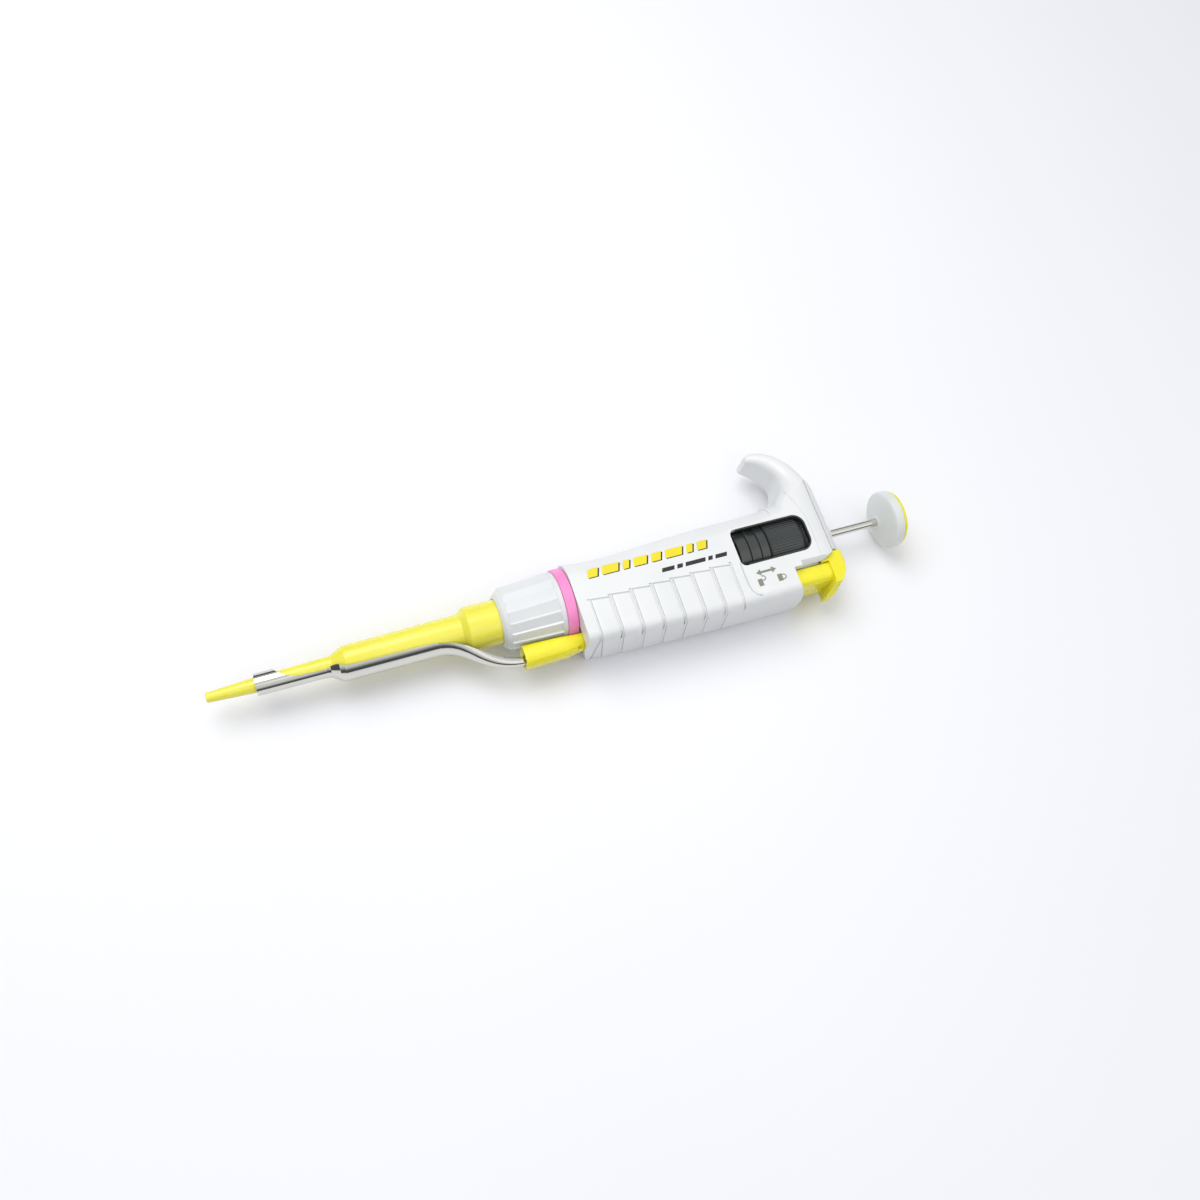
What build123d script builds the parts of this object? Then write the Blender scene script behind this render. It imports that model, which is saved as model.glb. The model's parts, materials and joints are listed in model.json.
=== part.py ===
from build123d import *
import os
from math import cos, pi, radians, sin

os.makedirs("parts", exist_ok=True)

# The pipette lies on its side: +X runs from the nozzle to the push button, +Y points
# to the finger hook, +Z is up. Stations are distances from the nozzle end.
length = 240.0
half = 12.1          # half thickness of the handle, so the axis is this high
axis_z = half
nose_x = -length / 2
axis_y = -5.6        # centres the outline between the hook and the ejector button

# Main radii
nozzle_r = 1.6
shaft_r = 7.35
nut_r = 11.3
ring_r = 11.9
neck_r = 9.4
neck_bore = 7.0
wheel_r = 10.75
screw_r = 3.0
rod_r = 1.4
piston_r = 1.9
button_r = 10.2
running = 0.05       # radial clearance of a sliding shaft
gap = 0.3            # clearance of a moving piece in its pocket
wheel_gap = 0.2

# Stations along the axis
nut_s = 91.5
ring_s = 112.1
front_s = 115.7
neck_end = 128.0
pocket_s = 172.5
window_s = 173.6
window_e = 201.0
window_half = 6.7
pocket_e = 201.6
lower_e = 194.2
seam_s = 207.2
cap_e = 212.2
seam = 0.3

# Ejector
ejector_y = -15.1
ejector_rod_r = 1.2
mouth_high = -9.0
mouth_low = -17.0
holder_s = 96.0
stem_top = -11.6
stem_low = -17.9
cheek_z = 7.4        # the head's cheeks pass beside the thumbwheel
tab_half = 8.6
relief_half = 8.9
stem_half = 7.8


def across(s, y=0.0, z=0.0):
    """A plane square to the axis at station s: its x is +Y, its y is +Z."""
    place = (nose_x + s, axis_y + y, axis_z + z)
    return Plane(origin=place, x_dir=(0, 1, 0), z_dir=(1, 0, 0))


def flat(h):
    """A level plane h above the axis: its x is the station, its y is Y from the axis."""
    return Plane(origin=(nose_x, axis_y, axis_z + h), x_dir=(1, 0, 0), z_dir=(0, 0, 1))


def upright(y=0.0):
    """A standing plane through an axis at y: its x is the station, its y the radius."""
    return Plane(origin=(nose_x, axis_y + y, axis_z), x_dir=(1, 0, 0), z_dir=(0, -1, 0))


def along(y=0.0):
    """The line that the round parts at y are turned about."""
    return Axis((nose_x, axis_y + y, axis_z), (1, 0, 0))


def turned(points, y=0.0):
    """A solid of revolution from (station, radius) points."""
    with BuildPart() as solid:
        with BuildSketch(upright(y)):
            with BuildLine():
                Polyline(*points, close=True)
            make_face()
        revolve(axis=along(y))
    return solid.part


def tube(s0, s1, inner, outer, y=0.0):
    """A plain tube or disc between two stations."""
    with BuildPart() as solid:
        with BuildSketch(across(s0, y)):
            Circle(outer)
            if inner > 0:
                Circle(inner, mode=Mode.SUBTRACT)
        extrude(amount=s1 - s0)
    return solid.part


def coil(s0, s1, turns, mean, wire, y=0.0):
    """A compression spring of round wire."""
    with BuildPart() as solid:
        rise = s1 - s0 - 2 * wire
        with BuildLine() as path:
            start = (nose_x + s0 + wire, axis_y + y, axis_z)
            Helix(pitch=rise / turns, height=rise, radius=mean, center=start, direction=(1, 0, 0))
        with BuildSketch(Plane(origin=path.line @ 0, z_dir=path.line % 0)):
            Circle(wire)
        sweep(is_frenet=True)
    return solid.part


def prism(points, low, high):
    """A plan outline of (station, Y) points between two heights about the axis."""
    with BuildPart() as solid:
        with BuildSketch(flat(low)):
            with BuildLine():
                Polyline(*points, close=True)
            make_face()
        extrude(amount=high - low)
    return solid.part


def finish(part, name):
    """Label a piece and write it."""
    part.label = name
    export_step(part, f"parts/{name}.step")


# ---------------------------------------------------------------- nozzle end
with BuildPart() as shaft:
    with BuildSketch(upright()):
        with BuildLine():
            Polyline(
                (0, 0.6), (0, nozzle_r - 0.25), (0.25, nozzle_r), (14.4, 2.4), (38, 2.95),
                (42, 5.0), (79.3, 5.6), (81.2, shaft_r), (96.5, shaft_r), (96.5, 8.9),
                (98.8, 8.9), (98.8, 6.9), (108, 6.9), (108, 5.9), (82, 5.9),
                (82, piston_r + gap), (31, piston_r + gap), (31, 0.9), (12, 0.9),
                close=True,
            )
        make_face()
    revolve(axis=along())
finish(shaft.part, "shaft")

with BuildPart() as piston_seal:
    add(tube(82.05, 85.0, piston_r + running, 5.85))
finish(piston_seal.part, "piston_seal")

with BuildPart() as seal_o_ring:
    with BuildSketch(upright()):
        with Locations((86.0, 2.85)):
            Circle(0.9)
    revolve(axis=along())
finish(seal_o_ring.part, "seal_o_ring")

with BuildPart() as seal_retainer:
    add(turned([(85.05, 3.8), (85.05, 5.85), (88.2, 5.85), (88.2, 2.2), (87.0, 2.2), (87.0, 3.8)]))
finish(seal_retainer.part, "seal_retainer")

with BuildPart() as piston_spring:
    add(coil(88.3, 109.9, 7, 4.6, 0.45))
finish(piston_spring.part, "piston_spring")

with BuildPart() as piston:
    add(turned([(46, 0), (46, 1.5), (46.6, piston_r), (110, piston_r), (110, 5.4),
                (112.5, 5.4), (112.5, 2.6), (114, 2.0), (114, 0)]))
finish(piston.part, "piston")

with BuildPart() as blowout_spring:
    add(coil(108.05, 114.95, 3, 6.4, 0.4))
finish(blowout_spring.part, "blowout_spring")

with BuildPart() as blowout_washer:
    add(tube(115.0, 116.4, 3.0, neck_bore - gap))
finish(blowout_washer.part, "blowout_washer")

# Threaded neck that the nut pulls the shaft against
thread_turns = 5
with BuildPart() as neck_sleeve:
    add(tube(98.9, neck_end, neck_bore, neck_r))
    for turn in range(thread_turns):
        thread_s = 100.0 + 2.0 * turn
        add(tube(thread_s, thread_s + 0.9, neck_r - 0.35, neck_r + 1), mode=Mode.SUBTRACT)
finish(neck_sleeve.part, "neck_sleeve")

# Union nut with saw-tooth flutes that widen towards the ring
flutes = 18
flute_depth = 0.42
flute_end = ring_s - 1.6
nut_small = nut_r - 1.1
tooth = 2 * pi / flutes
with BuildPart() as barrel_nut:
    with BuildSketch(across(nut_s)):
        with BuildLine():
            crown = []
            for n in range(flutes):
                low = nut_small - flute_depth
                crown.append((nut_small * cos(n * tooth), nut_small * sin(n * tooth)))
                crown.append((low * cos((n + 0.92) * tooth), low * sin((n + 0.92) * tooth)))
            Polyline(*crown, close=True)
        make_face()
    extrude(amount=flute_end - nut_s, taper=-3.3)
    add(tube(flute_end - 0.01, ring_s - 0.1, 0, nut_r))
    add(turned([(nut_s - 1, 0), (nut_s - 1, 30), (nut_s + 3.2, 30), (nut_s + 3.2, 13),
                (nut_s + 2.2, 10.0), (nut_s + 0.9, 9.2), (nut_s, 8.0), (nut_s, 0)]),
        mode=Mode.SUBTRACT)
    add(tube(nut_s - 1, 96.3, 0, shaft_r + 0.2), mode=Mode.SUBTRACT)
    add(tube(96.2, ring_s + 1, 0, neck_r + 0.05), mode=Mode.SUBTRACT)
finish(barrel_nut.part, "barrel_nut")

with BuildPart() as colour_ring:
    add(tube(ring_s, front_s - 0.2, neck_r, ring_r))
    fillet(colour_ring.edges().filter_by(GeomType.CIRCLE).group_by(SortBy.RADIUS)[-1], 0.3)
finish(colour_ring.part, "colour_ring")


# ---------------------------------------------------------------- handle
side_trim = 0.04


def grip_section(s, y_hook, y_low, r_hook, r_low, inset=0.0):
    """A rounded cross-section of the handle, a little thicker than the finished one."""
    with BuildSketch(across(s)) as section:
        with Locations(((y_hook + y_low) / 2, 0)):
            Rectangle(y_hook - y_low - 2 * inset, 2 * (half - inset + side_trim))
        fillet(section.vertices().group_by(Axis.X)[-1], r_hook - inset)
        fillet(section.vertices().group_by(Axis.X)[0], r_low - inset)
    return section.sketch


def grip(inset):
    """The long hand-grip from the front face to its lower end, taken in by inset."""
    with BuildPart() as body:
        loft([
            grip_section(front_s, 11.8, -17.8, 9.5, 3.0, inset),
            grip_section(128, 10.8, -18.3, 9.0, 3.0, inset),
            grip_section(150, 11.9, -19.6, 9.5, 3.2, inset),
            grip_section(172, 12.7, -20.3, 9.8, 3.4, inset),
            grip_section(183, 12.9, -20.4, 9.8, 3.6, inset),
            grip_section(lower_e, 14.0, -20.4, 9.5, 3.8, inset),
        ])
        add(prism([(90, -40), (230, -40), (230, 40), (90, 40)], inset - half, half - inset),
            mode=Mode.INTERSECT)
    return body.part


groove = 0.45


def grip_skin():
    """A thin skin that follows the outside of the hand-grip."""
    with BuildPart() as skin:
        add(grip(-1.0))
        add(grip(groove), mode=Mode.SUBTRACT)
    return skin.part


def hook_section(s, y, lean, thick, half_width, radius):
    """A rounded cross-section of the finger hook, square to its curved centre line."""
    heading = (sin(radians(lean)), cos(radians(lean)), 0)
    place = Plane(origin=(nose_x + s, axis_y + y, axis_z), x_dir=(heading[1], -heading[0], 0),
                  z_dir=heading)
    with BuildSketch(place) as section:
        RectangleRounded(thick, 2 * half_width, radius)
    return section.sketch


# The hook swings up from the head and points back towards the nozzle
with BuildPart() as hook:
    loft([
        hook_section(202.0, 8.0, 0, 19.0, half, 4.2),
        hook_section(203.0, 13.6, 0, 15.6, 11.5, 4.2),
        hook_section(204.2, 18.0, -2, 10.8, 10.3, 4.0),
        hook_section(204.3, 22.6, -10, 7.7, 8.9, 3.4),
        hook_section(202.1, 27.2, -30, 6.4, 7.9, 2.9),
        hook_section(198.2, 31.0, -55, 5.2, 7.1, 2.4),
        hook_section(194.7, 32.7, -74, 3.8, 6.2, 1.8),
        hook_section(192.3, 33.1, -84, 2.0, 4.8, 0.95),
    ])

# Head block: the body above the grip with its rounded end, hook included
dome_s = 202.4
skirt_y = -11.45
panel_z = 11.15
cap_zone = [(seam_s, -40), (240, -40), (240, 18.6), (seam_s, 18.6)]
skirt_end = [(201.9, skirt_y), (204.0, -10.7), (208.5, -8.4), (225, -8.2), (225, -30),
             (201.9, -30)]
with BuildPart() as head:
    extrude(grip_section(lower_e - 4, 14.0, skirt_y, 9.5, 4.5), amount=24)
    add(hook.part)
    with BuildSketch(upright(40)):
        with BuildLine():
            top = Spline((dome_s, panel_z), (seam_s, 9.9), (cap_e, 0),
                         tangents=[(1, -0.12), (0, -1)])
            low = Spline((cap_e, 0), (seam_s, -10.2), (dome_s, -half), tangents=[(0, -1), (-1, 0)])
            Polyline(low @ 1, (170, -half), (170, half), (dome_s, half), top @ 0)
        make_face()
    extrude(amount=80, mode=Mode.INTERSECT)
    add(prism(skirt_end, -20, 20), mode=Mode.SUBTRACT)



def window_block(inset, low, high):
    """The window's outline, taken in by inset, between two heights."""
    with BuildPart() as block:
        with BuildSketch(flat(low)) as outline:
            with Locations(((window_s + window_e) / 2, 0)):
                Rectangle(window_e - window_s - 2 * inset, 2 * (window_half - inset))
            fillet(outline.vertices().group_by(Axis.X)[0], 2.0 - inset)
            fillet(outline.vertices().group_by(Axis.X)[-1], 4.2 - inset)
        extrude(amount=high - low)
    return block.part


pads = 7
pad_pitch = 7.15
pad_s = 120.0
pad_top = -4.3
drum_s = 158.0
lens_s0 = 156.5
lens_s1 = 171.2
lens_half = 3.6
with BuildPart() as handle_body:
    # hand-grip, the head above it and the hook
    add(grip(0))
    add(head.part)
    add(prism(cap_zone, -20, 20), mode=Mode.SUBTRACT)
    # bores for the neck, the counter, the wheel and the top bush
    add(tube(front_s - 5, neck_end, 0, neck_r + 0.05), mode=Mode.SUBTRACT)
    add(tube(neck_end - 0.1, pocket_s, 0, 8.0), mode=Mode.SUBTRACT)
    add(tube(pocket_s - 0.1, pocket_e, 0, wheel_r + wheel_gap), mode=Mode.SUBTRACT)
    add(tube(pocket_e - 0.1, seam_s + 3, 0, 5.0), mode=Mode.SUBTRACT)
    # sunk panel and the window that shows the lock collar and the wheel
    with BuildSketch(flat(panel_z)):
        with BuildLine():
            Polyline((173.0, 40.0), (173.0, -13.6), (173.6, -15.8), (174.8, -17.2), (176.4, -17.8),
                     (215.0, -17.8), (215.0, 40.0), close=True)
        make_face()
    extrude(amount=5, mode=Mode.SUBTRACT)
    add(window_block(0, 0, 20), mode=Mode.SUBTRACT)
    # counter window in the underside
    with BuildSketch(flat(-half - 1)):
        with Locations(((lens_s0 + lens_s1) / 2, 0)):
            RectangleRounded(lens_s1 - lens_s0, 2 * lens_half, 1.0)
    extrude(amount=half, mode=Mode.SUBTRACT)
    # relief for the top of the ejector button
    add(prism([(201.9, -8.2), (215, -8.2), (215, -30), (201.9, -30)], -relief_half,
              relief_half), mode=Mode.SUBTRACT)
    for cheek in (-relief_half, cheek_z - 0.2):
        add(prism([(195.4, stem_top - 0.2), (195.4, stem_top + 0.3), (198.5, -8.2), (205, -8.2),
                   (205, stem_top - 0.2)], cheek, cheek + relief_half - cheek_z + 0.2),
            mode=Mode.SUBTRACT)
    # slanted lower end beside the ejector button, and bevelled front end
    with BuildSketch(upright(skirt_y)):
        with BuildLine():
            Polyline((190.8, half), (200, half), (200, 0), (lower_e, 0), close=True)
        make_face()
    extrude(amount=20, mode=Mode.SUBTRACT)
    with BuildSketch(upright(-30)):
        with BuildLine():
            Polyline((front_s - 1, 0), (front_s, 0), (front_s + 2.4, -half), (front_s - 1, -half),
                     close=True)
        make_face()
    extrude(amount=-60, mode=Mode.SUBTRACT)
    # mouth, channel and slot of the ejector
    with BuildSketch(across(front_s - 3)):
        with Locations(((mouth_high + mouth_low) / 2, 0)):
            RectangleRounded(mouth_high - mouth_low, 10.4, 1.8)
    extrude(amount=neck_end - front_s + 3, mode=Mode.SUBTRACT)
    add(tube(neck_end - 1, lower_e + 5, 0, 3.0, ejector_y), mode=Mode.SUBTRACT)
    with BuildSketch(across(182.5)):
        with Locations(((stem_top + stem_low) / 2, 0)):
            Rectangle(stem_top - stem_low + 0.2, 2 * stem_half + 0.2)
    extrude(amount=lower_e + 2 - 182.5, mode=Mode.SUBTRACT)
    # grooves between the grip pads
    for n in range(pads + 1):
        groove_s = pad_s + n * pad_pitch - 1.1
        strip = prism([(groove_s, pad_top), (groove_s + 0.9, pad_top), (groove_s + 0.9, -30),
                       (groove_s, -30)], -20, 20)
        add(grip_skin() & strip, mode=Mode.SUBTRACT)
finish(handle_body.part, "handle_body")

with BuildPart() as top_cap:
    add(head.part)
    add(prism([(seam_s + seam, -40), (240, -40), (240, 18.5), (seam_s + seam, 18.5)], -20, 20),
        mode=Mode.INTERSECT)
    add(prism([(200, -8.2), (215, -8.2), (215, -30), (200, -30)], -20, 20), mode=Mode.SUBTRACT)
    add(tube(200, 220, 0, 4.0), mode=Mode.SUBTRACT)
finish(top_cap.part, "top_cap")

# Dark lining of the window, open at the end that the lock collar slides to
rim_low = 9.15
rim_wall = 0.5
with BuildPart() as window_rim:
    add(window_block(0, rim_low, panel_z - 0.1))
    add(window_block(rim_wall, rim_low - 1, panel_z + 1), mode=Mode.SUBTRACT)
    add(prism([(170, -20), (176.5, -20), (176.5, 20), (170, 20)], 0, 20), mode=Mode.SUBTRACT)
finish(window_rim.part, "window_rim")

with BuildPart() as rod_bush:
    add(turned([(203, rod_r + running), (203, 3.95), (cap_e + 0.4, 3.95), (cap_e + 0.9, 3.4),
                (cap_e + 0.9, rod_r + running)]))
finish(rod_bush.part, "rod_bush")

with BuildPart() as counter_frame:
    with BuildSketch(flat(-half + 0.5)):
        with Locations(((lens_s0 + lens_s1) / 2, 0)):
            RectangleRounded(lens_s1 - lens_s0 - 0.1, 2 * lens_half - 0.1, 0.95)
            Rectangle(lens_s1 - lens_s0 - 2.2, 2 * lens_half - 2.2, mode=Mode.SUBTRACT)
    extrude(amount=2.6)
finish(counter_frame.part, "counter_frame")

with BuildPart() as counter_lens:
    with BuildSketch(flat(-half + 0.6)):
        with Locations(((lens_s0 + lens_s1) / 2, 0)):
            Rectangle(lens_s1 - lens_s0 - 2.3, 2 * lens_half - 2.3)
    extrude(amount=1.0)
finish(counter_lens.part, "counter_lens")

# ---------------------------------------------------------------- volume setting
screw_s = 140.0
thread_pitch = 2.0
with BuildPart() as volume_screw:
    add(tube(screw_s, 202.6, rod_r + 0.1, screw_r))
    for turn in range(8):
        thread_s = screw_s + 1 + thread_pitch * turn
        add(tube(thread_s, thread_s + 0.8, screw_r - 0.3, screw_r + 1), mode=Mode.SUBTRACT)
finish(volume_screw.part, "volume_screw")

with BuildPart() as stop_nut:
    add(tube(150.5, 155.5, screw_r + running, 7.7))
    with BuildSketch(across(150.5)):
        with PolarLocations(8.0, 3):
            Circle(1.6)
    extrude(amount=5, mode=Mode.SUBTRACT)
finish(stop_nut.part, "stop_nut")

# Three number drums beside each other on the screw
drum_width = 4.0
drum_pitch = 4.4
for n, drum_name in enumerate(("hundreds_drum", "tens_drum", "units_drum")):
    drum_start = drum_s + n * drum_pitch
    drum_bore = screw_r if drum_name == "units_drum" else screw_r + running
    with BuildPart() as drum:
        add(tube(drum_start, drum_start + drum_width, drum_bore, 7.6))
        with BuildSketch(across(drum_start)):
            with PolarLocations(7.85, 10):
                Circle(0.5)
        extrude(amount=0.8, mode=Mode.SUBTRACT)
    finish(drum.part, drum_name)

knurls = 72
wheel_s = 186.0
wheel_e = 200.3
with BuildPart() as thumbwheel:
    add(turned([(wheel_s, screw_r), (wheel_s, wheel_r - 0.5), (wheel_s + 0.5, wheel_r),
                (wheel_e - 2.2, wheel_r), (wheel_e - 0.7, wheel_r - 0.6), (wheel_e, wheel_r - 2.0),
                (wheel_e, screw_r)]))
    with BuildSketch(across(wheel_s)):
        with PolarLocations(wheel_r + 0.12, knurls):
            Circle(0.28)
    extrude(amount=wheel_e - wheel_s, mode=Mode.SUBTRACT)
finish(thumbwheel.part, "thumbwheel")

collar_s = 175.0
with BuildPart() as lock_collar:
    add(turned([(collar_s, 4.5), (collar_s, wheel_r - 0.6), (collar_s + 3.6, wheel_r - 0.6),
                (collar_s + 3.9, wheel_r), (collar_s + 4.9, wheel_r),
                (collar_s + 5.2, wheel_r - 0.5), (collar_s + 7.4, wheel_r - 0.5),
                (collar_s + 7.7, wheel_r), (collar_s + 10.5, wheel_r), (collar_s + 10.5, 8.0),
                (collar_s + 3.0, 8.0), (collar_s + 3.0, 4.5)]))
finish(lock_collar.part, "lock_collar")

# ---------------------------------------------------------------- plunger
with BuildPart() as plunger_rod:
    add(turned([(114.15, 0), (114.15, 0.9), (114.5, rod_r), (236.5, rod_r), (236.5, 0)]))
finish(plunger_rod.part, "plunger_rod")

with BuildPart() as stop_collar:
    add(tube(131.0, 134.0, rod_r, 5.2))
finish(stop_collar.part, "stop_collar")

disc_s = 238.5
with BuildPart() as push_button:
    add(turned([(232.7, rod_r), (232.7, 1.9), (233.0, 2.4), (233.3, 3.6), (233.8, 5.8),
                (234.4, 7.9), (235.0, 9.4), (235.4, 9.95), (235.8, button_r), (238.2, button_r),
                (disc_s, button_r - 0.25), (disc_s, 0), (236.5, 0), (236.5, rod_r)]))
finish(push_button.part, "push_button")

with BuildPart() as button_cap:
    add(turned([(disc_s, 0), (disc_s, button_r - 0.35), (239.3, button_r - 0.4),
                (239.8, button_r - 0.8), (length, button_r - 1.6), (length, 0)]))
finish(button_cap.part, "button_cap")

# ---------------------------------------------------------------- ejector
with BuildPart() as ejector_button:
    # head with a lip; its cheeks pass on either side of the wheel
    with BuildSketch(flat(-tab_half)):
        with BuildLine():
            tab = Polyline((205.2, -17.6), (205.2, stem_top), (202.2, stem_top), (205.1, -8.7),
                           (210.6, -8.7))
            Spline(tab @ 1, (210.8, -12.0), (209.6, -16.6), (206.8, -20.6), (203.6, -22.5),
                   tangents=[(0.2, -1), (-1, -0.1)])
            lip = ThreePointArc((203.6, -22.5), (202.9, -21.9), (203.4, -21.1))
            Spline(lip @ 1, (204.6, -19.8), tab @ 0, tangents=[(0.8, 0.6), (0, 1)])
        make_face()
    extrude(amount=2 * tab_half)
    add(prism([(200, -5), (208.8, -5), (208.8, stem_top), (200, stem_top)], -cheek_z, cheek_z),
        mode=Mode.SUBTRACT)
    # rounding of the thumb face, across and along
    with BuildSketch(upright(40)):
        with BuildLine():
            Polyline((209.2, tab_half), (200, tab_half), (200, -tab_half), (209.2, -tab_half))
            Spline((209.2, -tab_half), (210.6, -7.4), (211.6, 0), (210.6, 7.4), (209.2, tab_half),
                   tangents=[(1, 0), (-1, 0)])
        make_face()
    extrude(amount=80, mode=Mode.INTERSECT)
    with BuildSketch(across(195)):
        with BuildLine():
            Polyline((-14.5, tab_half), (-5, tab_half), (-5, -tab_half), (-14.5, -tab_half))
            Spline((-14.5, -tab_half), (-19.8, -6.6), (-22.6, 0), (-19.8, 6.6), (-14.5, tab_half),
                   tangents=[(-1, 0), (1, 0)])
        make_face()
    extrude(amount=30, mode=Mode.INTERSECT)
    # stem that slides in the handle
    with BuildSketch(across(190.5)) as stem_section:
        with Locations(((stem_top + stem_low) / 2, 0)):
            Rectangle(stem_top - stem_low - 0.1, 2 * stem_half - 0.1)
        fillet(stem_section.vertices().group_by(Axis.X)[0], 2.6)
        fillet(stem_section.vertices().group_by(Axis.X)[-1], 0.7)
    extrude(amount=206 - 190.5)
    add(tube(190, 208, 0, ejector_rod_r + running, ejector_y), mode=Mode.SUBTRACT)
finish(ejector_button.part, "ejector_button")

with BuildPart() as ejector_rod:
    add(tube(118.0, 207.5, 0, ejector_rod_r, ejector_y))
    add(tube(150.0, 151.0, 0, 2.7, ejector_y))
finish(ejector_rod.part, "ejector_rod")

with BuildPart() as ejector_spring:
    add(coil(128.6, 149.9, 8, 2.2, 0.3, ejector_y))
finish(ejector_spring.part, "ejector_spring")

holder_e = 124.5
with BuildPart() as ejector_holder:
    for station, high, low, wide in ((holder_s, -10.5, -18.0, 8.2), (110.0, -10.3, -17.7, 8.2),
                                     (115.0, -10.6, -16.8, 7.4), (holder_e, -10.6, -16.8, 7.4)):
        with BuildSketch(across(station)):
            with Locations(((high + low) / 2, 0)):
                RectangleRounded(high - low, wide, 3.0)
    loft(ruled=True)
    add(turned([(holder_s - 1, 0), (holder_s - 1, 10.9), (holder_s + 1, 11.0), (111, 12.3),
                (130, 12.3), (130, 0)]), mode=Mode.SUBTRACT)
    add(prism([(113.6, -15.8), (115.0, -15.8), (115.0, -19), (113.2, -19)], 0.8, 8),
        mode=Mode.SUBTRACT)
    with BuildSketch(across(holder_s)):
        with Locations((ejector_y, 0)):
            RectangleRounded(3.2, 6.6, 0.9)
    extrude(amount=6, mode=Mode.SUBTRACT)
    add(tube(101, 107, 0, 1.4, ejector_y), mode=Mode.SUBTRACT)
    add(tube(118, 130, 0, ejector_rod_r, ejector_y), mode=Mode.SUBTRACT)
finish(ejector_holder.part, "ejector_holder")


def bend(inset):
    """The tapering bend that leads from the half pipe to the round end."""
    with BuildPart() as shape:
        for s, y, r in ((70, 0, 6.15), (76, -2.3, 5.3), (84, -9.9, 3.2), (92, -14.3, 1.8),
                        (97, -15.1, 1.4)):
            with BuildSketch(across(s, y)):
                Circle(r - inset)
        loft()
    return shape.part


# Sheet-steel arm: a ring on the nozzle, a half pipe along the shaft, a bend, a round end
sheet = 0.4
with BuildPart() as ejector_arm:
    add(bend(0))
    add(bend(sheet), mode=Mode.SUBTRACT)
    add(turned([(14.7, 3.1), (14.7, 3.5), (33, 3.5), (36, 3.55), (37.3, 3.9), (38.6, 4.8),
                (39.9, 5.7), (41.4, 6.15), (70.1, 6.15), (70.1, 5.75), (41.6, 5.75), (40.2, 5.35),
                (38.9, 4.45), (37.5, 3.5), (36.2, 3.15), (33, 3.1)]))
    add(tube(96.9, 107, 0, 1.4, ejector_y))
    # open side of the half pipe and of the bend
    add(prism([(20.3, 12), (20.3, 3.6), (21.2, 2.0), (22.6, 0.5), (24.6, -0.8), (28, -1.5),
               (36, -1.8), (37.6, -1.4), (39.2, -1.6), (41.4, -2.8), (44, -3.1), (66, -3.2),
               (71.5, -3.6), (75.6, -4.6), (79.4, -6.5), (83.5, -9.2), (86.8, -11.4),
               (90.1, -13.0), (93, 12)], -15, 15), mode=Mode.SUBTRACT)
    add(turned([(60, 0), (60, 5.6), (78.4, 5.9), (80.6, 7.7), (91.2, 7.7), (91.2, 9.5),
                (94.0, 11.2), (100, 11.2), (100, 0)]), mode=Mode.SUBTRACT)
finish(ejector_arm.part, "ejector_arm")
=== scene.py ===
import json
import math

import bmesh
import bpy
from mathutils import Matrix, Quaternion, Vector


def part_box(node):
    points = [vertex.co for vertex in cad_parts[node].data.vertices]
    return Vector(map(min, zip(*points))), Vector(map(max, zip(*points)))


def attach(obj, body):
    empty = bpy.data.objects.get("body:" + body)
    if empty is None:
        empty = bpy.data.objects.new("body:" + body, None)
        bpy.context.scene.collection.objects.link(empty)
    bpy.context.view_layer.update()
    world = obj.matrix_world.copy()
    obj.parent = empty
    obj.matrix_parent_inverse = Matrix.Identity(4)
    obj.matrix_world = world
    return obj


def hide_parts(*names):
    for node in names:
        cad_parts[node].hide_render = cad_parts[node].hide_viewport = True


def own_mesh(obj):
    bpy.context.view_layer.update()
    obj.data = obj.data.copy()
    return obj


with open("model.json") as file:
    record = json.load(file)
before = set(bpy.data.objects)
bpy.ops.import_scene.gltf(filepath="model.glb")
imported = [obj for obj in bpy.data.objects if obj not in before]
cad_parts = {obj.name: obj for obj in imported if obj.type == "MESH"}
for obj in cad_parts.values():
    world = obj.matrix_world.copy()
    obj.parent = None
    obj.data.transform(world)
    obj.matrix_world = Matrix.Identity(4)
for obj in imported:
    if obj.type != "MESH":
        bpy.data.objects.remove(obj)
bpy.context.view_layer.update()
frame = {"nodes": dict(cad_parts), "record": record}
nodes = frame["nodes"]

# ---------------------------------------------------------------- the shared frame
MM = 0.001
rod_low, rod_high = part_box("plunger_rod")
NOSE_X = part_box("shaft")[0].x
AXIS_Y = (rod_low.y + rod_high.y) / 2
AXIS_Z = (rod_low.z + rod_high.z) / 2
HALF = (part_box("handle_body")[1].z - AXIS_Z) / MM  # the flat face's height above the axis


def at(station, y=0.0, z=0.0):
    """A point in the row frame, from millimetres along the main axis and away from it."""
    return Vector((NOSE_X + station * MM, AXIS_Y + y * MM, AXIS_Z + z * MM))


# ---------------------------------------------------------------- camera and light
def make_camera():
    """The photograph's view: from above the nozzle end, rolled so that the axis climbs."""
    data = bpy.data.cameras.new("camera")
    data.sensor_width = 36.0
    data.lens = 33.0
    data.clip_start = 0.01
    data.clip_end = 10.0
    camera = bpy.data.objects.new("camera", data)
    bpy.context.scene.collection.objects.link(camera)
    place = at(29.3, -104.4, 335.5)
    aim = at(126.7, -1.65, -0.6)
    camera.location = place
    camera.rotation_mode = "QUATERNION"
    roll = Quaternion((0, 0, 1), math.radians(26.35))
    camera.rotation_quaternion = (aim - place).to_track_quat("-Z", "Y") @ roll
    bpy.context.scene.camera = camera


def area_light(name, place, aim, size, power):
    """A soft square white lamp that points at aim."""
    data = bpy.data.lights.new(name, "AREA")
    data.size = size
    data.energy = power
    lamp = bpy.data.objects.new(name, data)
    bpy.context.scene.collection.objects.link(lamp)
    lamp.location = place
    lamp.rotation_euler = (aim - place).to_track_quat("-Z", "Y").to_euler()


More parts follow.
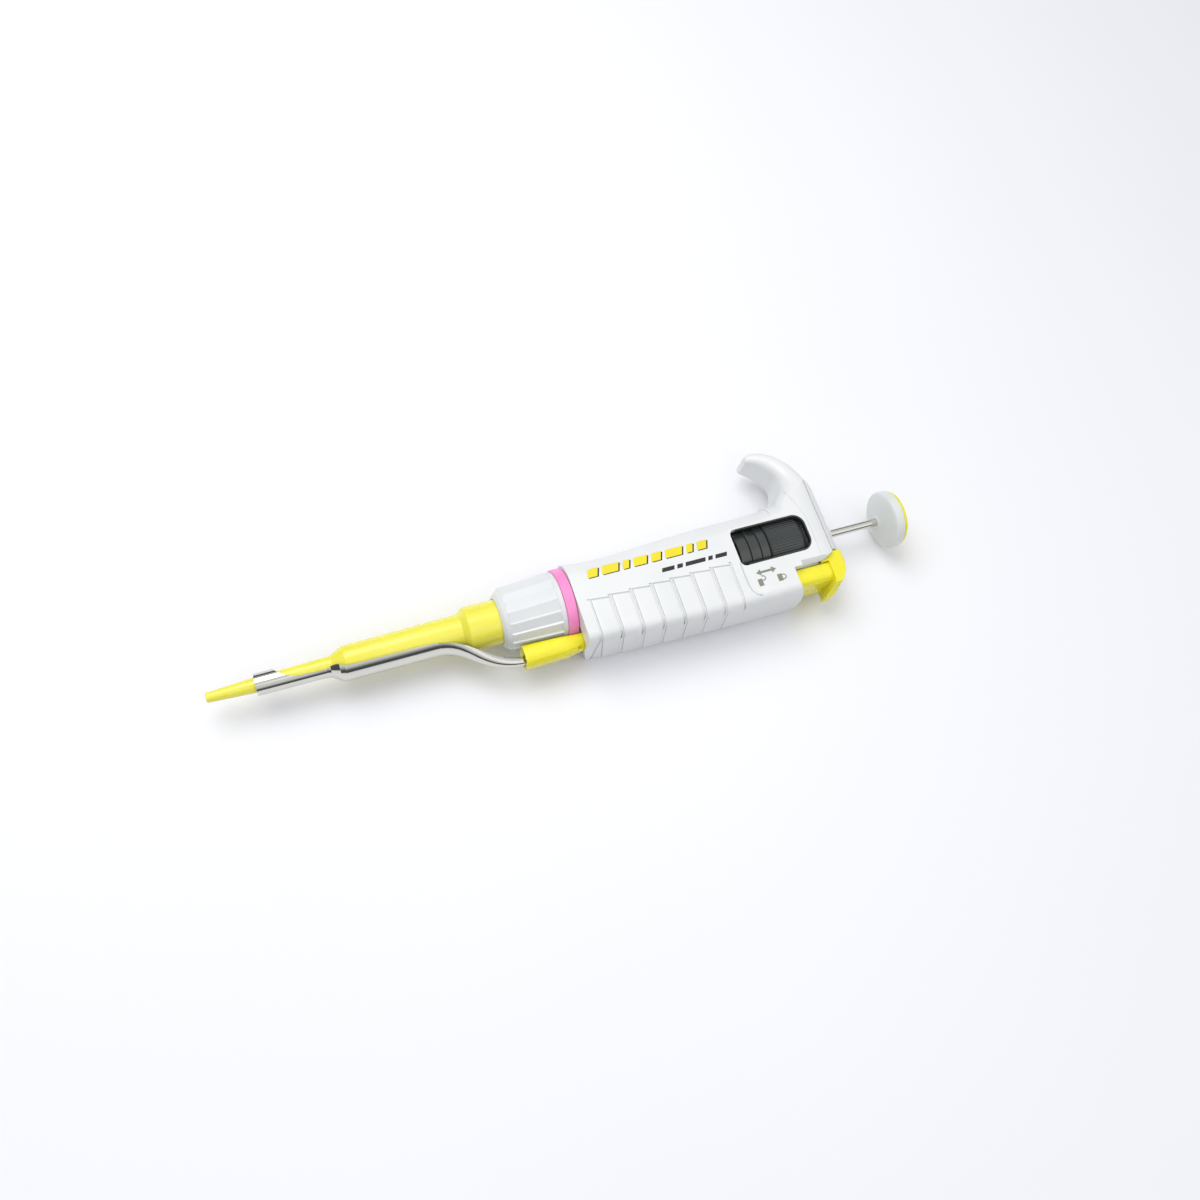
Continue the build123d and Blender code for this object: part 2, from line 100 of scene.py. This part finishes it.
def make_light():
    """Soft studio light from the upper left, with a pale surround."""
    middle = at(120)
    area_light("key", at(-40, 260, 620), middle, 0.45, 2.5)
    area_light("fill", at(330, -300, 500), middle, 0.6, 0.4)
    world = bpy.data.worlds.new("studio")
    world.use_nodes = True
    tree = world.node_tree
    source = tree.nodes.new("ShaderNodeTexCoord")
    split = tree.nodes.new("ShaderNodeSeparateXYZ")
    tree.links.new(source.outputs["Generated"], split.inputs["Vector"])
    sky = ramp(tree, split.outputs["Z"], 0.28, 0.62, (0.10, 0.11, 0.12), (0.97, 0.98, 1.0))
    tree.links.new(sky, tree.nodes["Background"].inputs["Color"])
    tree.nodes["Background"].inputs["Strength"].default_value = 0.85
    bpy.context.scene.world = world
    bpy.context.scene.view_settings.view_transform = "Standard"


# ---------------------------------------------------------------- materials
GRAIN_SCALE = 2600
MARK_DEPTH = 0.000004  # metres
NODE_EDGE = math.radians(32)
PIECE_EDGE = math.radians(40)


def linear(red, green, blue):
    """A display colour of 0 to 255 as the linear colour that shaders use."""
    steps = [c / 255 for c in (red, green, blue)]
    return tuple(c / 12.92 if c <= 0.04045 else ((c + 0.055) / 1.055) ** 2.4 for c in steps)


def new_material(name):
    """A node material with its shader and a texture coordinate in metres."""
    made = bpy.data.materials.new(name)
    made.use_nodes = True
    tree = made.node_tree
    return made, tree, tree.nodes["Principled BSDF"], tree.nodes.new("ShaderNodeTexCoord")


def noise(tree, source, scale, detail, stretch=(1, 1, 1)):
    """Noise over the object's own coordinates, stretched if asked."""
    mapping = tree.nodes.new("ShaderNodeMapping")
    mapping.inputs["Scale"].default_value = stretch
    texture = tree.nodes.new("ShaderNodeTexNoise")
    texture.inputs["Scale"].default_value = scale
    texture.inputs["Detail"].default_value = detail
    tree.links.new(source.outputs["Object"], mapping.inputs["Vector"])
    tree.links.new(mapping.outputs["Vector"], texture.inputs["Vector"])
    return texture.outputs["Fac"]


def ramp(tree, factor, low, high, first, last):
    """A colour ramp between two colours over part of a factor's range."""
    node = tree.nodes.new("ShaderNodeValToRGB")
    node.color_ramp.elements[0].position = low
    node.color_ramp.elements[1].position = high
    node.color_ramp.elements[0].color = (*first, 1)
    node.color_ramp.elements[1].color = (*last, 1)
    tree.links.new(factor, node.inputs["Fac"])
    return node.outputs["Color"]


def spread(tree, factor, low, high):
    """A factor of 0.3 to 0.7 mapped to a range of values."""
    node = tree.nodes.new("ShaderNodeMapRange")
    node.inputs["From Min"].default_value = 0.3
    node.inputs["From Max"].default_value = 0.7
    node.inputs["To Min"].default_value = low
    node.inputs["To Max"].default_value = high
    tree.links.new(factor, node.inputs["Value"])
    return node.outputs["Result"]


def bump(tree, shader, height, depth, strength):
    """Surface relief of a real depth in metres."""
    node = tree.nodes.new("ShaderNodeBump")
    node.inputs["Strength"].default_value = strength
    node.inputs["Distance"].default_value = depth
    tree.links.new(height, node.inputs["Height"])
    tree.links.new(node.outputs["Normal"], shader.inputs["Normal"])


def moulded(name, tone, shade, rough, grain=0.00002, coat=0.0, glow=0.0):
    """Plastic or print: slightly uneven tone and gloss, with a grain of a depth in metres."""
    made, tree, shader, source = new_material(name)
    cloud = noise(tree, source, 70, 4)
    tree.links.new(ramp(tree, cloud, 0.3, 0.75, tone, shade), shader.inputs["Base Color"])
    patch = noise(tree, source, 240, 3)
    tree.links.new(spread(tree, patch, *rough), shader.inputs["Roughness"])
    bump(tree, shader, noise(tree, source, GRAIN_SCALE, 2), grain, 0.5)
    shader.inputs["Coat Weight"].default_value = coat
    shader.inputs["Coat Roughness"].default_value = 0.12
    if glow:
        shader.inputs["Subsurface Weight"].default_value = glow
        shader.inputs["Subsurface Radius"].default_value = (0.6, 0.5, 0.15)
        shader.inputs["Subsurface Scale"].default_value = 0.002
    return made


def metal(name, tone, shade, rough, stretch):
    """Bright metal with fine drawn or turned marks."""
    made, tree, shader, source = new_material(name)
    marks = noise(tree, source, 900, 3, stretch)
    tree.links.new(ramp(tree, marks, 0.3, 0.7, tone, shade), shader.inputs["Base Color"])
    tree.links.new(spread(tree, marks, *rough), shader.inputs["Roughness"])
    shader.inputs["Metallic"].default_value = 1.0
    bump(tree, shader, marks, MARK_DEPTH, 0.4)
    return made


def clear_lens(name):
    """A clear moulded window with faint wipe marks."""
    made, tree, shader, source = new_material(name)
    wipe = noise(tree, source, 400, 4, (1, 6, 1))
    tree.links.new(spread(tree, wipe, 0.03, 0.12), shader.inputs["Roughness"])
    tint = ramp(tree, wipe, 0.3, 0.7, (0.9, 0.93, 0.95), (0.95, 0.97, 0.98))
    tree.links.new(tint, shader.inputs["Base Color"])
    shader.inputs["Transmission Weight"].default_value = 0.9
    shader.inputs["IOR"].default_value = 1.49
    return made


def make_materials():
    """Every material by its record slot, and the ones only Blender's pieces use."""
    return {
        "handle_plastic": moulded("handle_plastic", linear(232, 233, 233), linear(226, 228, 228),
                                  (0.30, 0.42)),
        "nut_plastic": moulded("nut_plastic", linear(228, 230, 230), linear(219, 222, 223),
                               (0.34, 0.46)),
        "button_plastic": moulded("button_plastic", linear(226, 229, 227), linear(218, 222, 220),
                                  (0.32, 0.44)),
        "yellow_plastic": moulded("yellow_plastic", linear(242, 234, 42), linear(238, 226, 28),
                                  (0.22, 0.34), coat=0.25, glow=0.12),
        "shaft_yellow": moulded("shaft_yellow", linear(241, 234, 88), linear(238, 229, 72),
                                (0.2, 0.3), coat=0.3, glow=0.2),
        "pink_plastic": moulded("pink_plastic", linear(255, 150, 208), linear(250, 138, 198),
                                (0.30, 0.42)),
        "black_plastic": moulded("black_plastic", linear(48, 53, 51), linear(40, 44, 43),
                                 (0.20, 0.32), coat=0.5),
        # Painted shade: a grey laid on the pads' rims and along the sunk panel's crease, where
        # shade falls.
        "painted_edge_shade": moulded("painted_edge_shade", linear(196, 199, 201), linear(186, 189, 192),
                              (0.5, 0.6)),
        "drum_white": moulded("drum_white", linear(236, 236, 232), linear(226, 226, 222),
                              (0.35, 0.5)),
        "seal_polymer": moulded("seal_polymer", linear(240, 240, 236), linear(228, 228, 222),
                                (0.3, 0.45)),
        # A lighter painted shade along the head's crease.
        "painted_soft_shade": moulded("painted_soft_shade", linear(218, 220, 222), linear(210, 213, 215),
                             (0.45, 0.55)),
        "rubber": moulded("rubber", linear(38, 38, 38), linear(28, 28, 28), (0.55, 0.7), 0.00004),
        "print_olive": moulded("print_olive", linear(140, 141, 128), linear(128, 129, 116),
                               (0.45, 0.6), 0.000005),
        "print_yellow": moulded("print_yellow", linear(240, 222, 30), linear(232, 212, 20),
                                (0.4, 0.5), 0.000005),
        "print_black": moulded("print_black", linear(34, 34, 36), linear(26, 26, 28), (0.4, 0.5),
                               0.000005),
        "chrome": metal("chrome", (0.71, 0.70, 0.64), (0.62, 0.61, 0.56), (0.05, 0.11), (1, 9, 9)),
        "spring_steel": metal("spring_steel", (0.62, 0.63, 0.64), (0.52, 0.53, 0.55), (0.25, 0.4),
                              (1, 6, 6)),
        "brass": metal("brass", (0.80, 0.62, 0.28), (0.72, 0.52, 0.22), (0.22, 0.36), (8, 1, 1)),
        "clear_lens": clear_lens("clear_lens"),
    }


def paint_frame(materials):
    """Gives each CAD node its slot's material and keeps only its hard edges sharp.

    The shaft is paler than the other yellow pieces.
    """
    for part in frame["record"]["subparts"]:
        node = nodes[part["node"]]
        node.data.materials.clear()
        look = "shaft_yellow" if part["node"] == "shaft" else part["material_slot"]
        node.data.materials.append(materials[look])
        node.data.set_sharp_from_angle(angle=NODE_EDGE)


# ---------------------------------------------------------------- piece helpers
def piece(name, made, material):
    """Turns a bmesh into a named piece that rides on the handle."""
    bmesh.ops.recalc_face_normals(made, faces=made.faces)
    data = bpy.data.meshes.new(name)
    made.to_mesh(data)
    made.free()
    data.materials.append(material)
    data.polygons.foreach_set("use_smooth", [True] * len(data.polygons))
    data.set_sharp_from_angle(angle=PIECE_EDGE)
    shape = bpy.data.objects.new(name, data)
    bpy.context.scene.collection.objects.link(shape)
    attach(shape, "handle")
    return shape


def slab(made, outline, z, thick):
    """Adds a flat printed or moulded shape: a (station, y) outline between z and z + thick."""
    low = [made.verts.new(at(s, y, z)) for s, y in outline]
    high = [made.verts.new(at(s, y, z + thick)) for s, y in outline]
    made.faces.new(high)
    made.faces.new(low[::-1])
    for n in range(len(outline)):
        after = (n + 1) % len(outline)
        made.faces.new((low[n], low[after], high[after], high[n]))


# ---------------------------------------------------------------- springs
def live_spring(node, materials):
    """A copy of a CAD spring's mesh, riding on the handle in place of the hidden node."""
    slot = next(p["material_slot"] for p in frame["record"]["subparts"] if p["node"] == node)
    made = bmesh.new()
    made.from_mesh(nodes[node].data)
    coil = piece(node + "_coil", made, materials[slot])
    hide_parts(node)
    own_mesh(coil)


# ---------------------------------------------------------------- grip pads
# Lengths are in millimetres, and stations count from the nozzle's end.
PAD_COUNT = 7
PAD_PITCH = 7.15
PAD_START = 120.0
PAD_LONG = 6.35  # along the handle
PAD_WRAP = 36.0  # round the handle
PAD_TOP = -4.3
PAD_RISE = 0.32
PAD_ROWS = 100
PAD_ACROSS = (0.0, 0.035, 0.08, 0.3, 0.6, 0.9, 0.96, 1.0)
PAD_HEIGHTS = (-0.3, 0.8, 1.0, 0.85, 0.65, 0.45, 0.3, -0.3)
PAD_SKEW = 0.6  # how much further its far side reaches round the handle
TOP_BEVEL = 0.012  # as shares of the wrap
END_BEVEL = 0.06
LEAN_FROM = 15.0  # past this much wrap the pad leans towards the button
LEAN_SLOPE = 3.2 / 20.0
# Rows at each pad's top edge that carry painted shade.
SHADE_RIM_ROWS = 2

# The ejector-side wall's y and its corner radius at some stations.
WALL_STATIONS = (115.7, 128.0, 150.0, 172.0, 183.0)
WALL_EDGES = (-17.8, -18.3, -19.6, -20.3, -20.4)
WALL_RADII = (3.0, 3.0, 3.2, 3.4, 3.6)


def wall_at(station):
    """The ejector-side wall's y and its corner radius at a station."""
    n = 0
    while n < len(WALL_STATIONS) - 2 and station > WALL_STATIONS[n + 1]:
        n += 1
    t = (station - WALL_STATIONS[n]) / (WALL_STATIONS[n + 1] - WALL_STATIONS[n])
    edge = WALL_EDGES[n] + t * (WALL_EDGES[n + 1] - WALL_EDGES[n])
    return edge, WALL_RADII[n] + t * (WALL_RADII[n + 1] - WALL_RADII[n])


def grip_point(station, travel, lift):
    """A point lift mm off the handle's skin, travel mm round its section from the pads' top."""
    wall_y, radius = wall_at(station)
    face = PAD_TOP - (wall_y + radius)
    arc = radius * math.pi / 2
    side = 2 * (HALF - radius)
    if travel < face:
        return at(station, PAD_TOP - travel, HALF + lift)
    if travel < face + arc:
        turn = (travel - face) / radius
        reach = radius + lift
        y = wall_y + radius - reach * math.sin(turn)
        return at(station, y, HALF - radius + reach * math.cos(turn))
    if travel < face + arc + side:
        return at(station, wall_y - lift, HALF - radius - (travel - face - arc))
    turn = (travel - face - arc - side) / radius
    reach = radius + lift
    y = wall_y + radius - reach * math.cos(turn)
    return at(station, y, radius - HALF - reach * math.sin(turn))


def grip_pad(n, materials):
    """One raised pad that wraps from the flat face round the ejector edge.

    It is highest near its nozzle side, where a rim of painted shade marks the step.
    """
    start = PAD_START + n * PAD_PITCH
    made = bmesh.new()
    grid = []
    for i in range(PAD_ROWS + 1):
        row = []
        along = i / PAD_ROWS
        end = min(1.0, along / TOP_BEVEL, (1 - along) / END_BEVEL)
        for part, height in zip(PAD_ACROSS, PAD_HEIGHTS):
            lift = PAD_RISE * (height if end >= 1 else min(height, 1.2 * end - 0.2))
            travel = PAD_WRAP * along + PAD_SKEW * part
            lean = LEAN_SLOPE * max(0.0, travel - LEAN_FROM)
            row.append(made.verts.new(grip_point(start + part * PAD_LONG + lean, travel, lift)))
        grid.append(row)
    for i in range(PAD_ROWS):
        for j in range(len(PAD_ACROSS) - 1):
            face = made.faces.new((grid[i][j], grid[i + 1][j], grid[i + 1][j + 1], grid[i][j + 1]))
            # The top rows and the nozzle-side column carry painted shade along the pad's step.
            face.material_index = 1 if i < SHADE_RIM_ROWS or j == 0 else 0
    pad = piece(f"grip_pad_{n + 1}", made, materials["handle_plastic"])
    pad.data.materials.append(materials["painted_edge_shade"])


# ---------------------------------------------------------------- printed marks and painted shade lines
PANEL_Z = 11.15  # the sunk panel's height above the axis
INK = 0.03  # how far a print stands off its face
ARC_STEPS = 10
BAR_LEAN = 0.35
# The width of the painted shade lines.
SHADE_LINE_WIDE = 0.35


def arc_points(centre, radius, start, end):
    """Points of an arc in the (station, y) plane, angles in degrees."""
    found = []
    for n in range(ARC_STEPS + 1):
        turn = math.radians(start + (end - start) * n / ARC_STEPS)
        found.append((centre[0] + radius * math.cos(turn), centre[1] + radius * math.sin(turn)))
    return found


def turned_outline(outline, centre, degrees):
    """An outline turned about a centre."""
    c, s = math.cos(math.radians(degrees)), math.sin(math.radians(degrees))
    return [(centre[0] + (x - centre[0]) * c - (y - centre[1]) * s,
             centre[1] + (x - centre[0]) * s + (y - centre[1]) * c) for x, y in outline]


def padlock(name, centre, opened, material):
    """A small printed padlock that points at the button, its shackle aside when it is open."""
    x, y = centre
    made = bmesh.new()
    case = [(x - 1.25, y - 1.0), (x + 1.25, y - 1.0), (x + 1.25, y + 0.7), (x - 1.25, y + 0.7)]
    slab(made, turned_outline(case, centre, -90), PANEL_Z, INK)
    hoop_out, hoop_in = 0.95, 0.6
    lifted = 0.1 if opened else 0.0
    root_x, root_y = x - 1.3 if opened else x, y + 0.7
    outer = arc_points((root_x, root_y + 0.5), hoop_out, 0, 180)
    inner = arc_points((root_x, root_y + 0.5), hoop_in, 180, 0)
    free_foot = [(root_x - hoop_out, root_y + lifted), (root_x - hoop_in, root_y + lifted)]
    fixed_foot = [(root_x + hoop_in, root_y), (root_x + hoop_out, root_y)]
    shackle = outer + free_foot + inner + fixed_foot
    slab(made, turned_outline(shackle, centre, -90), PANEL_Z, INK)
    piece(name, made, material)


def double_arrow(material):
    """The printed arrow that shows the lock collar's two ways."""
    made = bmesh.new()
    y = -10.2
    slab(made, [(177.2, y), (178.9, y + 1.15), (178.9, y + 0.4), (182.9, y + 0.4),
                (182.9, y + 1.15), (184.6, y), (182.9, y - 1.15), (182.9, y - 0.4),
                (178.9, y - 0.4), (178.9, y - 1.15)], PANEL_Z, INK)
    piece("print_double_arrow", made, material)


def slanted_bars(name, start, low, high, widths, spacing, z, material, shift=(0.0, 0.0)):
    """A row of slanted bars printed on the flat face."""
    made = bmesh.new()
    lean = BAR_LEAN * (high - low)
    s = start
    for width in widths:
        slab(made, [(s + shift[0], low + shift[1]), (s + width + shift[0], low + shift[1]),
                    (s + width + lean + shift[0], high + shift[1]),
                    (s + lean + shift[0], high + shift[1])], z, INK)
        s += width + spacing
    piece(name, made, material)


def painted_shade_line(name, path, z, material):
    """A narrow line of painted shade along (station, y) points, laid on a flat face."""
    made = bmesh.new()
    rails = []
    for n, (s, y) in enumerate(path):
        before, after = path[max(n - 1, 0)], path[min(n + 1, len(path) - 1)]
        run_s, run_y = after[0] - before[0], after[1] - before[1]
        reach = math.hypot(run_s, run_y)
        aside = (-run_y * SHADE_LINE_WIDE / 2 / reach, run_s * SHADE_LINE_WIDE / 2 / reach)
        rails.append([made.verts.new(at(s + side * aside[0], y + side * aside[1], z + rise))
                      for side, rise in ((-1, INK), (1, INK), (1, 0), (-1, 0))])
    for first, last in zip(rails, rails[1:]):
        for n in range(4):
            after = (n + 1) % 4
            made.faces.new((first[n], first[after], last[after], last[n]))
    made.faces.new(rails[0])
    made.faces.new(rails[-1][::-1])
    piece(name, made, material)


def make_crease_shades(materials):
    """Painted shade lines along the creases that edge the sunk panel and the head's sloping end.
    """
    # Painted shade where the panel's step and the head's crease turn from the light.
    painted_shade_line("panel_crease_painted_shade", [(172.8, -5.5), (172.75, -10.0), (172.8, -13.6), (173.3, -15.8),
                            (174.5, -17.4), (176.2, -18.1)], HALF, materials["painted_edge_shade"])
    painted_shade_line("head_crease_painted_shade", [(198.2, 16.0), (199.4, 13.2), (200.5, 10.6), (201.5, 7.6),
                           (202.1, 4.6), (202.2, 1.0), (202.2, -4.0), (202.0, -9.0)],
           PANEL_Z, materials["painted_soft_shade"])


def make_prints(materials):
    """The symbols beside the window and the plain bars that stand in for the lettering."""
    olive = materials["print_olive"]
    padlock("print_padlock_open", (177.8, -13.6), True, olive)
    padlock("print_padlock_closed", (185.0, -13.6), False, olive)
    double_arrow(olive)
    widths = (3.4, 5.6, 2.2, 4.6, 3.4, 6.0, 2.2, 3.4)
    slanted_bars("print_bars_shadow", 121.5, 2.5, 5.4, widths, 1.6, HALF,
                 materials["print_black"], (0.4, -0.3))
    slanted_bars("print_bars", 121.5, 2.5, 5.4, widths, 1.6, HALF + INK,
                 materials["print_yellow"])
    slanted_bars("print_bars_small", 146.0, -1.9, -0.5, (4.4, 2.0, 7.2, 1.6, 4.2), 1.0, HALF,
                 materials["print_black"])


# ---------------------------------------------------------------- floor
FLOOR_HALF = 4


def make_floor():
    """A wide pale floor, matt and almost even."""
    made = bmesh.new()
    for x, y in ((-1, -1), (1, -1), (1, 1), (-1, 1)):
        made.verts.new((x * FLOOR_HALF, y * FLOOR_HALF, 0))
    made.faces.new(made.verts)
    data = bpy.data.meshes.new("floor")
    made.to_mesh(data)
    made.free()
    floor, tree, shader, source = new_material("floor")
    sheet = noise(tree, source, 3, 2)
    tree.links.new(ramp(tree, sheet, 0.3, 0.7, (0.87, 0.87, 0.90), (0.89, 0.89, 0.92)),
                   shader.inputs["Base Color"])
    shader.inputs["Roughness"].default_value = 0.85
    data.materials.append(floor)
    ground = bpy.data.objects.new("floor", data)
    bpy.context.scene.collection.objects.link(ground)


make_camera()
make_light()
make_floor()
materials = make_materials()
paint_frame(materials)
for pad_number in range(PAD_COUNT):
    grip_pad(pad_number, materials)
make_prints(materials)
make_crease_shades(materials)
live_spring("piston_spring", materials)
live_spring("blowout_spring", materials)
live_spring("ejector_spring", materials)
